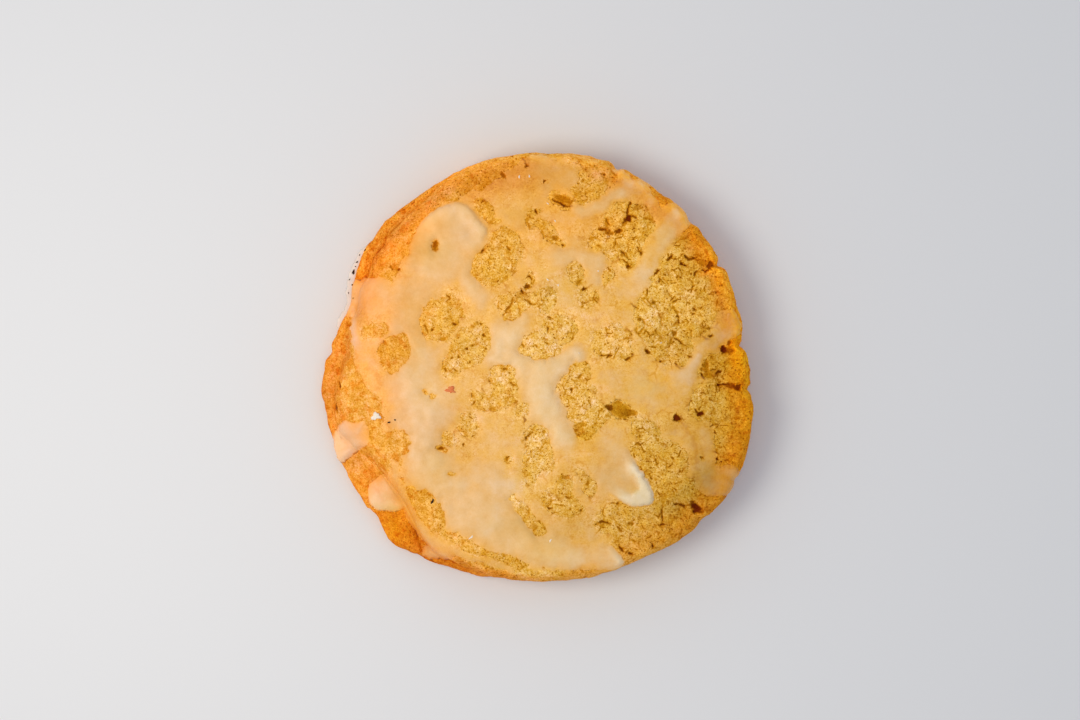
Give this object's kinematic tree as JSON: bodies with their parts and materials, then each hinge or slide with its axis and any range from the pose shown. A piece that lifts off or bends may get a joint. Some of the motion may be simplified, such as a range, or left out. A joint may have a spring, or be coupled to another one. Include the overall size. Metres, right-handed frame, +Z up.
{
  "type": "lemon cookie",
  "caption": "Thick round lemon cookie with a crumbly domed crown, a browned foot showing on one side, and a thin drizzled glaze.",
  "frame": {"origin": "middle of the outline, on the surface that the cookie lies on", "axes": "+Z up through the glazed face, -X towards the side where the foot shows"},
  "size_m": [0.0864, 0.0858, 0.0149],
  "materials": {
    "lemon_crumb": "matt baked crumb, browned at the rim",
    "lemon_glaze": "dried sugar glaze with a soft gloss",
    "dark_specks": "matt scorched crumbs",
    "red_fleck": "small candied fleck",
    "white_flakes": "matt dried icing"
  },
  "bodies": {
    "root": {"cookie": "lemon_crumb"}
  },
  "joints": []
}
